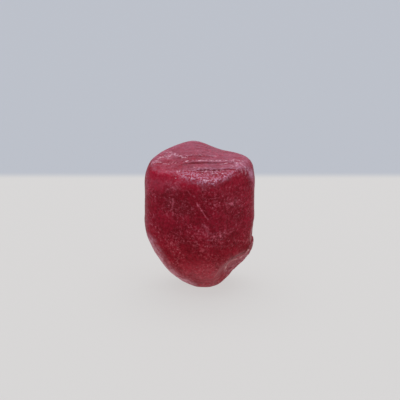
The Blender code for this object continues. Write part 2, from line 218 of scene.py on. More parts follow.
# Where painted glints crowd, bright specks that stand in for highlights, in the same form
SPARKLE_MARKS = {
    "left_skirt": (0.5, 1.0, ((-2.4, -3.4, 15.6), (-1.0, -4.1, 15.4), (0.6, -4.9, 15.0))),
    "slope_lip_right": (0.6, 0.8, ((1.8, -4.9, 15.1), (3.1, -4.1, 15.5), (4.1, -3.3, 15.7), (5.0, -2.6, 15.9))),
    "cap_left": (0.4, 1.0, ((-5.4, -0.5, 16.1), (-4.2, 0.4, 16.5), (-2.6, 0.2, 16.8), (-1.6, -0.4, 16.8))),
    "corner": (0.6, 0.8, ((4.4, -1.4, 16.4), (5.6, -1.8, 15.8), (6.0, -2.0, 14.8))),
    "left_arm": (0.45, 1.3, ((-3.8, -2.2, 15.8), (-2.4, -3.0, 15.8), (-1.0, -3.8, 15.7))),
    "chip": (0.5, 1.0, ((5.6, -1.2, 4.6), (4.7, -0.8, 3.3), (3.7, -1.2, 2.9), (3.3, -0.8, 1.8))),
    "front_left": (0.2, 2.4, ((-3.6, -3.6, 12.4), (-1.4, -4.5, 11.4))),
    "front_right": (0.3, 1.1, ((3.4, -4.1, 12.2), (4.8, -3.0, 11.6))),
    "front_low": (0.2, 1.6, ((0.4, -5.2, 8.8), (2.4, -4.8, 8.2))),
}
# Painted light and shade, in the same form: above 0 the stone is painted brighter where light would come back out
# of it, and below 0 it is painted darker, as shade under the ledges and above the chip and where less light comes
# back
PAINTED_LIGHT_AND_SHADE_MARKS = {
    "slope": (0.5, 1.0, ((-0.8, -4.0, 15.7), (1.8, -4.4, 15.5), (4.2, -2.9, 15.8))),
    "under_slope": (-0.25, 1.6, ((0.4, -5.0, 13.6), (2.4, -4.8, 13.2))),
    "upper_left": (0.75, 2.4, ((-6.2, -1.9, 14.8), (-4.6, -3.0, 15.0), (-2.9, -3.8, 14.9))),
    "left_crease": (0.4, 1.0, ((-5.0, -2.6, 15.6), (-2.6, -3.2, 15.8), (-0.6, -3.8, 15.8))),
    "left_arm": (0.5, 1.2, ((-2.4, -3.8, 15.0), (-0.4, -4.8, 14.6))),
    "left_side": (0.25, 1.6, ((-6.2, -2.0, 12.6), (-6.2, -2.0, 7.8))),
    "under_right_arm": (0.25, 1.4, ((3.6, -3.9, 14.9), (5.4, -2.4, 14.9))),
    "middle": (-0.55, 2.4, ((-3.2, -3.8, 12.5), (-1.1, -4.6, 11.8), (0.2, -5.0, 11.2))),
    "right_middle": (-0.4, 2.2, ((3.0, -4.4, 12.4), (4.9, -2.9, 10.6))),
    "lower_middle": (-0.4, 1.8, ((-3.5, -3.7, 8.2), (-1.3, -4.4, 7.2))),
    "flank": (-0.6, 1.0, ((2.2, -4.8, 7.7), (4.6, -3.2, 7.7))),
    "flank_low": (-0.5, 0.8, ((2.0, -4.9, 6.6), (4.4, -3.2, 6.6))),
    "ledge_shade_1": (-1.0, 0.3, ((-2.9, -1.8, 16.3), (-0.5, -1.8, 16.5), (2.4, -1.6, 16.5))),
    "ledge_shade_2": (-1.0, 0.3, ((-0.3, -3.0, 16.1), (2.4, -2.9, 16.2), (4.6, -2.6, 16.2))),
    "shade_above_chip": (-1.0, 0.5, ((6.0, -2.1, 5.6), (5.5, -1.9, 4.8), (4.6, -2.6, 4.6), (3.8, -3.5, 4.7))),
    "foot": (0.5, 2.2, ((-1.0, -3.6, 3.4), (1.2, -3.6, 2.6))),
    "back_middle": (-0.6, 2.4, ((-1.6, 4.9, 11.8), (-2.6, 4.4, 8.4))),
    "back_right": (-0.4, 2.2, ((3.2, 4.1, 9.6), (3.4, 4.0, 7.0))),
    "back_top": (0.6, 2.2, ((-3.0, 4.0, 14.6), (2.0, 4.4, 14.8))),
    "back_low": (0.4, 2.0, ((-3.6, 3.1, 4.4), (-1.0, 4.0, 3.2))),
}
MARK_WANDER, MARK_WANDER_LENGTH = 0.12, 0.6  # how far a mark strays from its path, and over what length
# Far places in the noise, one for each axis that it strays along. noise_vector would change from run to run
STRAY_PLACES = (Vector((14.2, 3.6, -9.4)), Vector((-6.3, -37.9, 21.5)), Vector((25.7, -18.1, 44.6)))

# Over how many rounds of smoothing a place is compared with what lies round it
FINE_ROUNDS, BROAD_ROUNDS = 6, 90
FINE_RELIEF, BROAD_RELIEF = 0.012, 0.09  # how far a place stands out there to count as a full edge


class RubyStoneSettings(bpy.types.PropertyGroup):
    """What shapes the crystal and colours it."""

    worn_edge: FloatProperty(
        name="Worn Edge",
        description="How quickly one worn face gives way to the next, per millimetre",
        default=1.7,
        min=0.5,
    )
    crisp_edge: FloatProperty(
        name="Crisp Edge",
        description="The same across an edge that broke later, per millimetre",
        default=6.0,
        min=0.5,
    )
    grid: FloatProperty(
        name="Surface Grid",
        description="Spacing of the points that the surface is shaped from",
        default=0.104 * MM,
        min=0.1 * MM,
        precision=5,
        unit="LENGTH",
    )
    swell: FloatProperty(
        name="Swell",
        description="Height of the low waves on the faces",
        default=0.1 * MM,
        precision=5,
        unit="LENGTH",
    )
    grain: FloatProperty(
        name="Grain",
        description="Height of the fine grain",
        default=0.012 * MM,
        precision=6,
        unit="LENGTH",
    )
    pits: IntProperty(name="Pits", description="How many small round hollows there are", default=60, min=0)
    # deep red: the stone's darker red, also painted where less light comes back out and into hollows as shade
    deep_red: FloatVectorProperty(
        name="Deep Red",
        description="The stone where light is lost in it",
        default=(0.185, 0.0025, 0.010),
        min=0.0,
        max=1.0,
        subtype="COLOR",
    )
    # bright red: the stone's brighter red, also painted where light would come back out of the stone
    bright_red: FloatVectorProperty(
        name="Bright Red",
        description="The stone where light comes back out of it",
        default=(0.47, 0.011, 0.04),
        min=0.0,
        max=1.0,
        subtype="COLOR",
    )
    # frost: the rubbed skin, also painted as sheen on faces turned up and as a reflection of the floor on faces
    # turned down
    frost: FloatVectorProperty(
        name="Frost",
        description="The rubbed skin on edges, rims and the cap",
        default=(0.64, 0.28, 0.405),
        min=0.0,
        max=1.0,
        subtype="COLOR",
    )
    rose: FloatVectorProperty(
        name="Rose",
        description="The fine crinkles and specks on the faces",
        default=(0.64, 0.13, 0.19),
        min=0.0,
        max=1.0,
        subtype="COLOR",
    )
    # painted warmer light from the floor on the lower half
    low_light_tint: FloatVectorProperty(
        name="Low Tint",
        description="What the lower half's colour is multiplied by",
        default=(1.0, 0.96, 0.78),
        min=0.0,
        max=1.0,
        subtype="COLOR",
    )
    glint: FloatVectorProperty(
        name="Glint",
        description="The brightest specks, where the rubbed slope catches the light",
        default=(0.95, 0.56, 0.66),
        min=0.0,
        max=1.0,
        subtype="COLOR",
    )


class RubyStageSettings(bpy.types.PropertyGroup):
    """The floor, the light and the camera."""

    floor: FloatVectorProperty(
        name="Floor",
        description="The floor under and before the crystal",
        default=(0.13, 0.1275, 0.126),
        min=0.0,
        max=1.0,
        subtype="COLOR",
    )
    far_floor: FloatVectorProperty(
        name="Far Floor",
        description="The floor behind the crystal",
        default=(0.094, 0.0985, 0.109),
        min=0.0,
        max=1.0,
        subtype="COLOR",
    )
    floor_glow: FloatProperty(
        name="Floor Glow",
        description="How much light the floor gives by itself, as a lit table does",
        default=4.3,
        min=0.0,
    )
    room: FloatVectorProperty(
        name="Room Light",
        description="The even light from all round",
        default=(0.42, 0.435, 0.47),
        min=0.0,
        max=1.0,
        subtype="COLOR",
    )
    overhead: FloatProperty(
        name="Overhead Light", description="Power of the wide light above", default=1.7, min=0.0, unit="POWER"
    )
    pitch: FloatProperty(
        name="Pitch",
        description="How far the camera looks down",
        default=math.radians(21.1),
        subtype="ANGLE",
    )
    distance: FloatProperty(
        name="Distance",
        description="From the camera to the crystal",
        default=0.290,
        unit="LENGTH",
    )
    aim: FloatVectorProperty(
        name="Aim",
        description="The point that the camera looks at",
        default=(0.00006, 0.00067, 0.01073),
        precision=5,
        subtype="TRANSLATION",
    )
    focal_length: FloatProperty(
        name="Focal Length", description="The camera's lens", default=211.6, min=1.0, unit="CAMERA"
    )


# Shape


def heading(azimuth, dip=0.0):
    """The unit vector that points outwards at an azimuth and a dip."""
    turn, rise = math.radians(azimuth), math.radians(dip)
    level = Vector((math.sin(turn), -math.cos(turn), 0.0))
    return level * math.cos(rise) + Vector((0.0, 0.0, math.sin(rise)))


def face_plane(azimuth, dip, reach, height):
    """A point on a face, and the face's outward normal."""
    return heading(azimuth) * reach + Vector((0.0, 0.0, height)), heading(azimuth, dip)


def worn_planes():
    planes = []
    for turns, (reach, dip) in enumerate(PRISM_FACES.values()):
        planes.append(face_plane(PRISM_TURN + 30.0 + 60.0 * turns, dip, reach, GIRDLE_HEIGHT))
    planes += [face_plane(*face) for face in (*CAP_FACES.values(), *FOOT_FACES.values())]
    return planes


def crisp_planes():
    return [face_plane(*face) for face in CRISP_FACES.values()]


def add_block():
    """The rough block, as the only selected object."""
    bpy.ops.object.select_all(action="DESELECT")
    bpy.ops.mesh.primitive_cube_add(size=BLOCK_SIDE * MM, location=(0.0, 0.0, 0.0))
    stone = bpy.context.active_object
    stone.name = "ruby_stone"
    stone.data.name = "ruby_stone"
    return stone


def slice_off(point, normal):
    """In edit mode, cuts off what lies outside a plane and closes the cut."""
    bpy.ops.mesh.select_all(action="SELECT")
    bpy.ops.mesh.bisect(
        plane_co=point * MM, plane_no=normal, use_fill=True, clear_outer=True, threshold=1e-7
    )


def cut_faces():
    bpy.ops.object.mode_set(mode="EDIT")
    for point, normal in worn_planes() + crisp_planes():
        slice_off(point, normal)
    bpy.ops.mesh.select_all(action="SELECT")
    bpy.ops.mesh.normals_make_consistent(inside=False)
    bpy.ops.object.mode_set(mode="OBJECT")


def even_grid(stone, spacing):
    """Spreads the surface's points evenly."""
    remesh = stone.modifiers.new("even_grid", "REMESH")
    remesh.mode = "VOXEL"
    remesh.voxel_size = spacing
    bpy.ops.object.modifier_apply(modifier=remesh.name)


def read_points(mesh):
    points = np.empty(3 * len(mesh.vertices))
    mesh.vertices.foreach_get("co", points)
    return points.reshape(-1, 3) / MM


def write_points(mesh, points):
    mesh.vertices.foreach_set("co", (points * MM).ravel())
    mesh.update()


def read_normals(mesh):
    normals = np.empty(3 * len(mesh.vertices))
    mesh.vertex_normals.foreach_get("vector", normals)
    return normals.reshape(-1, 3)


def read_edges(mesh):
    ends = np.empty(2 * len(mesh.edges), np.int32)
    mesh.edges.foreach_get("vertices", ends)
    return ends.reshape(-1, 2)


def smoothed(points, ends, rounds):
    """Each point moved towards the mean of its neighbours, several times."""
    count = np.bincount(ends.ravel(), minlength=len(points))
    for _ in range(rounds):
        mean = [
            np.bincount(ends[:, 0], points[ends[:, 1], axis], len(points))
            + np.bincount(ends[:, 1], points[ends[:, 0], axis], len(points))
            for axis in range(3)
        ]
        points = 0.5 * points + 0.5 * np.stack(mean, axis=1) / count[:, None]
    return points


def arrays(planes):
    """The planes' normals, and how far each plane lies from the origin."""
    return np.array([normal for _, normal in planes]), np.array([normal.dot(point) for point, normal in planes])


def blend(distances, slopes, edge):
    """The distance outside several surfaces at once, where each gives way to the next, and its slope."""
    nearest = distances.max(axis=1, keepdims=True)
    shares = np.exp(edge * (distances - nearest))
    total = shares.sum(axis=1, keepdims=True)
    distance = nearest[:, 0] + np.log(total[:, 0]) / edge
    return distance, np.einsum("pf,pfi->pi", shares / total, slopes)


def body_distance(points, settings):
    """How far each point lies outside the worn faces together with the crisp ones, and the slope there."""
    worn, worn_offsets = arrays(worn_planes())
    slopes = np.broadcast_to(worn, (len(points), *worn.shape))
    body, body_slope = blend(points @ worn.T - worn_offsets, slopes, settings.worn_edge)
    crisp, crisp_offsets = arrays(crisp_planes())
    distances = np.column_stack([body, points @ crisp.T - crisp_offsets])
    slopes = np.broadcast_to(crisp, (len(points), *crisp.shape))
    return blend(distances, np.concatenate([body_slope[:, None], slopes], axis=1), settings.crisp_edge)


def stone_distance(points, settings):
    """The same with the chips struck off."""
    distances, slopes = ([each] for each in body_distance(points, settings))
    for middle, radius in CHIPS.values():
        away = np.array(middle) - points
        apart = np.linalg.norm(away, axis=1)
        distances.append(radius - apart)
        slopes.append(away / apart[:, None])
    return blend(np.column_stack(distances), np.stack(slopes, axis=1), CHIP_EDGE)


def wear_round(points, settings):
    """Moves the points onto the worn and chipped crystal."""
    for _ in range(8):
        outside, slope = stone_distance(points, settings)
        points = points - (outside / (slope**2).sum(axis=1))[:, None] * slope
    return points


def raise_hump(points):
    """Lifts the crest into a low hump that runs from front to back."""
    grown = np.clip((points[:, 2] - HUMP_FROM) / (HUMP_FULL - HUMP_FROM), 0.0, 1.0)
    lift = HUMP_HEIGHT * grown * np.exp(-0.5 * ((points[:, 0] - HUMP_MIDDLE) / HUMP_WIDTH) ** 2)
    return points + lift[:, None] * np.array((0.0, 0.0, 1.0))


def rim_step(past, fade):
    """1 just past a rim, 0 before it, and fading to 0 again farther on."""
    return np.clip(past / RIM_STEP, 0.0, 1.0) * np.clip(1.0 - (past - RIM_STEP) / fade, 0.0, 1.0)


def side_ledges(points, stray):
    """How far each point stands out for the ledges on the sides."""
    azimuths = np.degrees(np.arctan2(points[:, 0], -points[:, 1]))
    moved = np.zeros(len(points))
    for height, rise, middle, half, stand_out, fade in SIDE_LEDGES.values():
        apart = np.abs((azimuths - middle + 180.0) % 360.0 - 180.0)
        strength = np.clip(1.5 * (1.0 - apart / half), 0.0, 1.0)
        above = points[:, 2] - height - rise * points[:, 0] + SIDE_WANDER * stray
        moved += stand_out * strength * rim_step(above * np.sign(fade), abs(fade))
    return moved


def cap_ledges(points, normals, stray):
    """The same for the ledges across the cap."""
    on_cap = np.clip(2.0 * normals[:, 2] - 0.8, 0.0, 1.0)
    moved = np.zeros(len(points))
    for left, right, place, turn, stand_out, fade in CAP_LEDGES.values():
        inside = np.minimum(points[:, 0] - left, right - points[:, 0])
        behind = points[:, 1] - place - turn * points[:, 0] + CAP_WANDER * stray
        moved += stand_out * on_cap * np.clip(inside, 0.0, 1.0) * rim_step(behind, fade)
    return moved


def swell_and_ledges(points, normals, settings):
    """How far each point moves for the low waves and for the growth ledges."""
    stray = np.array([noise.fractal(Vector(point) / WANDER_LENGTH, 1.0, 2.0, 2) for point in points])
    swell = np.array([noise.fractal(Vector(point) / SWELL_LENGTH, 1.0, 2.0, 3) for point in points])
    moved = settings.swell / MM * swell + side_ledges(points, stray) + cap_ledges(points, normals, stray)
    return moved[:, None] * normals


def press_ball(points, middle, radius):
    """Pushes the points inside a ball out to its surface, which leaves the ball's hollow in the stone."""
    away = points - np.array(middle)
    distance = np.linalg.norm(away, axis=1, keepdims=True)
    return np.where(distance < radius, np.array(middle) + away * radius / distance, points)


def sink_pits(points, normals, settings):
    """Small round hollows, scattered at random but the same on every run."""
    dice = np.random.default_rng(PIT_SEED)
    for place in dice.choice(len(points), settings.pits, replace=False):
        width, depth = dice.uniform(*PIT_WIDTHS), dice.uniform(*PIT_DEPTHS)
        radius = (width**2 / 4 + depth**2) / (2 * depth)
        points = press_ball(points, points[place] + normals[place] * (radius - depth), radius)
    return points


def roughen(points, normals, settings):
    """How far each point moves for the fine grain, which is coarsest on the slope and in the chips."""
    slope = on_face(points, CRISP_FACES["front_slope"], 0.3) * (normals[:, 2] > 0.5)
    chipped = placed(points, {"ridge": LINE_AND_HIGHLIGHT_MARKS["chip_ridge"], "hollow": FROST_MARKS["chip_hollow"]})
    fine = np.array([noise.noise(Vector(point) / GRAIN_LENGTH) for point in points])
    lumps = np.array([noise.fractal(Vector(point) / LUMP_LENGTH, 1.0, 2.0, 2) for point in points])
    moved = settings.grain / MM * ((1.0 + 1.5 * slope) * fine + 12.0 * np.clip(2.0 * chipped, 0.0, 1.0) * lumps)
    return moved[:, None] * normals


def carve(mesh, settings):
    points, ends = wear_round(read_points(mesh), settings), read_edges(mesh)
    for _ in range(SPREAD_TIMES):
        points = wear_round(smoothed(points, ends, SPREAD_ROUNDS), settings)
    points = raise_hump(points)
    write_points(mesh, points)
    write_points(mesh, points + swell_and_ledges(points, read_normals(mesh), settings))
    points = sink_pits(read_points(mesh), read_normals(mesh), settings)
    write_points(mesh, points)
    write_points(mesh, points + roughen(points, read_normals(mesh), settings))


def cut_foot():
    """Cuts the stone off level at the plane it stands on."""
    bpy.ops.object.mode_set(mode="EDIT")
    slice_off(Vector(), Vector((0.0, 0.0, -1.0)))
    bpy.ops.object.mode_set(mode="OBJECT")


def centre(mesh):
    """Brings the middle of the crystal over the origin."""
    points = read_points(mesh)
    middle = (points.min(axis=0) + points.max(axis=0)) / 2
    write_points(mesh, points - middle * (1.0, 1.0, 0.0))


# Where the stone is worn, frosted, bright and dark, partly as painted light and shade


def stand_out(mesh, rounds):
    """How far each point stands out from the smoothed surface round it: below 0 in a hollow."""
    points = read_points(mesh)
    return ((points - smoothed(points, read_edges(mesh), rounds)) * read_normals(mesh)).sum(axis=1)


def set_mask(mesh, name, values):
    mask = mesh.attributes.new(name, "FLOAT", "POINT")
    mask.data.foreach_set("value", values.astype(np.float32))


def near_path(points, path, width):
    """1 on a path, falling smoothly to 0 at that width from it."""
    nearest = np.full(len(points), np.inf)
    for start, end in zip(np.array(path), np.array(path[1:])):
        along = np.clip((points - start) @ (end - start) / ((end - start) ** 2).sum(), 0.0, 1.0)
        apart = np.linalg.norm(points - start - along[:, None] * (end - start), axis=1)
        nearest = np.minimum(nearest, apart)
    share = np.clip(1.0 - nearest / width, 0.0, 1.0)
    return share * share * (3.0 - 2.0 * share)


def placed(points, marks):
    """The marks' strengths added up."""
    return sum(strength * near_path(points, path, width) for strength, width, path in marks.values())


def on_face(points, face, within):
    """1 on a face's plane, falling to 0 where the stone lies that far inside it."""
    point, normal = face_plane(*face)
    return np.clip(1.0 + (points @ np.array(normal) - normal.dot(point)) / within, 0.0, 1.0)


def stray(points):
    """The points moved about a little, so that the marks stray from their paths."""
    places = [Vector(point) / MARK_WANDER_LENGTH for point in points]
    moves = [[noise.noise(place + far) for far in STRAY_PLACES] for place in places]
    return points + MARK_WANDER * np.array(moves)


def mark_stone(mesh):
    points, normals = read_points(mesh), read_normals(mesh)
    strayed = stray(points)
    slope = on_face(strayed, CRISP_FACES["front_slope"], 0.4)
    lower_slope = slope * np.clip((-strayed[:, 1] - 2.6) / 0.8, 0.0, 1.0)
    set_mask(mesh, "edge", stand_out(mesh, BROAD_ROUNDS) / BROAD_RELIEF)
    set_mask(mesh, "rim", stand_out(mesh, FINE_ROUNDS) / FINE_RELIEF)
    set_mask(mesh, "upward", normals[:, 2])
    # pale lines, partly frost and partly painted highlights
    highlight_lines = placed(strayed, LINE_AND_HIGHLIGHT_MARKS)
    # frost, partly painted reflections of the floor and room and painted shade above the chip
    set_mask(mesh, "frost", placed(strayed, FROST_MARKS) + 0.15 * lower_slope + 0.3 * highlight_lines)
    set_mask(mesh, "line", highlight_lines)
    set_mask(mesh, "rosy", placed(strayed, ROSE_MARKS))
    # painted glints crowd on the lower slope and along the sparkle marks
    set_mask(mesh, "sparkle", lower_slope + placed(strayed, SPARKLE_MARKS))
    # painted light where light would come back out of the stone, and painted shade under the ledges and above the
    # chip
    set_mask(mesh, "painted_light_and_shade", placed(strayed, PAINTED_LIGHT_AND_SHADE_MARKS))


# Finish


def add_node(tree, kind, column, row, values=None, **settings):
    """A node at a place in the layout, with its settings and with values for its input sockets."""
    node = tree.nodes.new(kind)
    node.location = (220.0 * column, -200.0 * row)
    for name, value in settings.items():
        setattr(node, name, value)
    for name, value in (values or {}).items():
        if isinstance(value, bpy.types.NodeSocket):
            tree.links.new(value, node.inputs[name])
        else:
            node.inputs[name].default_value = value
    return node


def new_group(name, inputs, outputs):
    """An empty node group with float and vector sockets, and its two end nodes."""
    group = bpy.data.node_groups.new(name, "ShaderNodeTree")
    for label, default in inputs:
        kind = "NodeSocketVector" if default is None else "NodeSocketFloat"
        socket = group.interface.new_socket(label, in_out="INPUT", socket_type=kind)
        if default is not None:
            socket.default_value = default
    for label in outputs:
        group.interface.new_socket(label, in_out="OUTPUT", socket_type="NodeSocketFloat")
    return group, group.nodes.new("NodeGroupInput"), group.nodes.new("NodeGroupOutput")


def clouds_group():
    """Soft patches: a value from 0 to 1 that wanders over the surface."""
    group, start, end = new_group(
        "clouds", [("Place", None), ("Size", 1.0), ("Detail", 3.0), ("Low", 0.35), ("High", 0.65)], ["Cloud"]
    )
    start.location, end.location = (-400.0, 0.0), (900.0, 0.0)
    per = add_node(group, "ShaderNodeMath", 0, 1, {0: 1.0, 1: start.outputs["Size"]}, operation="DIVIDE")
    texture = add_node(
        group,
        "ShaderNodeTexNoise",
        1,
        0,
        {
            "Vector": start.outputs["Place"],
            "Scale": per.outputs[0],
            "Detail": start.outputs["Detail"],
            "Roughness": 0.6,
        },
    )
    spread = add_node(
        group,
        "ShaderNodeMapRange",
        2,
        0,
        {
            "Value": texture.outputs["Fac"],
            "From Min": start.outputs["Low"],
            "From Max": start.outputs["High"],
        },
        interpolation_type="SMOOTHSTEP",
    )
    group.links.new(spread.outputs["Result"], end.inputs["Cloud"])
    return group


def specks_group():
    """Small round specks: 1 in a speck and 0 outside. Only a share of the cells has one."""
    group, start, end = new_group(
        "specks", [("Place", None), ("Spacing", 1.0), ("Width", 0.2), ("Share", 0.3)], ["Speck"]
    )
    start.location, end.location = (-400.0, 0.0), (1300.0, 0.0)
    per = add_node(group, "ShaderNodeMath", 0, 1, {0: 1.0, 1: start.outputs["Spacing"]}, operation="DIVIDE")
    cells = add_node(
        group, "ShaderNodeTexVoronoi", 1, 0, {"Vector": start.outputs["Place"], "Scale": per.outputs[0]}
    )
    parts = add_node(group, "ShaderNodeSeparateColor", 2, 1, {"Color": cells.outputs["Color"]})
    chosen = add_node(
        group, "ShaderNodeMath", 3, 1, {0: parts.outputs["Red"], 1: start.outputs["Share"]}, operation="LESS_THAN"
    )
    size = add_node(
        group,
        "ShaderNodeMath",
        3,
        2,
        {0: parts.outputs["Green"], 1: start.outputs["Width"]},
        operation="MULTIPLY",
    )
    near = add_node(
        group,
        "ShaderNodeMapRange",
        4,
        0,
        {"Value": cells.outputs["Distance"], "From Min": size.outputs[0], "From Max": 0.0},
        interpolation_type="SMOOTHSTEP",
    )
    speck = add_node(
        group, "ShaderNodeMath", 5, 0, {0: near.outputs["Result"], 1: chosen.outputs[0]}, operation="MULTIPLY"
    )
    group.links.new(speck.outputs[0], end.inputs["Speck"])
    return group


def threads_group():
    """Thin winding lines: 1 on a line and 0 off it."""
    group, start, end = new_group("threads", [("Place", None), ("Size", 1.0), ("Width", 0.03)], ["Thread"])
    start.location, end.location = (-400.0, 0.0), (900.0, 0.0)
    per = add_node(group, "ShaderNodeMath", 0, 1, {0: 1.0, 1: start.outputs["Size"]}, operation="DIVIDE")
    texture = add_node(
        group,
        "ShaderNodeTexNoise",
        1,
        0,
        {"Vector": start.outputs["Place"], "Scale": per.outputs[0], "Detail": 2.0, "Roughness": 0.5},
    )
    off = add_node(group, "ShaderNodeMath", 2, 0, {0: texture.outputs["Fac"], 1: 0.5}, operation="SUBTRACT")
    apart = add_node(group, "ShaderNodeMath", 3, 0, {0: off.outputs[0]}, operation="ABSOLUTE")
    line = add_node(
        group,
        "ShaderNodeMapRange",
        4,
        0,
        {"Value": apart.outputs[0], "From Min": start.outputs["Width"], "From Max": 0.0},
        interpolation_type="SMOOTHSTEP",
    )
    group.links.new(line.outputs["Result"], end.inputs["Thread"])
    return group


def use_group(tree, group, column, row, **values):
    node = add_node(tree, "ShaderNodeGroup", column, row, node_tree=group)
    for name, value in values.items():
        socket = node.inputs[name]
        if isinstance(value, bpy.types.NodeSocket):
            tree.links.new(value, socket)
        else:
            socket.default_value = value
    return node.outputs[0]


def new_material(name):
    finish = bpy.data.materials.new(name)
    finish.use_nodes = True
    tree = finish.node_tree
    shader = tree.nodes["Principled BSDF"]
    shader.location = (2600.0, 0.0)
    tree.nodes["Material Output"].location = (2900.0, 0.0)
    place = add_node(tree, "ShaderNodeTexCoord", -2, 0)
    in_mm = add_node(
        tree,
        "ShaderNodeVectorMath",
        -1,
        0,
        {0: place.outputs["Object"], 1: (1.0 / MM, 1.0 / MM, 1.0 / MM)},
        operation="MULTIPLY",
    )
    return finish, tree, shader, in_mm.outputs[0]


def math_node(tree, operation, column, row, *values, clamp=False):
    node = add_node(
        tree, "ShaderNodeMath", column, row, dict(enumerate(values)), operation=operation, use_clamp=clamp
    )
    return node.outputs[0]


def weighed(tree, column, row, parts, clamp=False):
    """The sum of several values, each times its weight."""
    total = 0.0
    for step, (value, weight) in enumerate(parts):
        last = step == len(parts) - 1
        total = math_node(tree, "MULTIPLY_ADD", column + step, row, value, weight, total, clamp=clamp and last)
    return total


def raw_mask(tree, name, column, row):
    """A mask that the mesh carries, as it is."""
    return add_node(tree, "ShaderNodeAttribute", column, row, attribute_name=name).outputs["Fac"]


def mask(tree, name, column, row, low=0.0, high=1.0):
    """A mask that the mesh carries, spread so that low gives 0 and high gives 1."""
    spread = add_node(
        tree,
        "ShaderNodeMapRange",
        column + 1,
        row,
        {"Value": raw_mask(tree, name, column, row), "From Min": low, "From Max": high},
        interpolation_type="SMOOTHSTEP",
    )
    return spread.outputs["Result"]


def mix_value(tree, share, first, second, column, row):
    node = tree.nodes.new("ShaderNodeMix")
    node.location = (220.0 * column, -200.0 * row)
    for index, value in enumerate((share, None, first, second)):
        if isinstance(value, bpy.types.NodeSocket):
            tree.links.new(value, node.inputs[index])
    return node.outputs[0]


def mix_colour(tree, share, first, second, column, row, blend_type="MIX"):
    node = tree.nodes.new("ShaderNodeMix")
    node.data_type = "RGBA"
    node.blend_type = blend_type
    node.location = (220.0 * column, -200.0 * row)
    for index, value in ((0, share), (6, first), (7, second)):
        socket = node.inputs[index]
        if isinstance(value, bpy.types.NodeSocket):
            tree.links.new(value, socket)
        elif index == 0:
            socket.default_value = value
        else:
            socket.default_value = (*value, 1.0)
    return node.outputs[2]


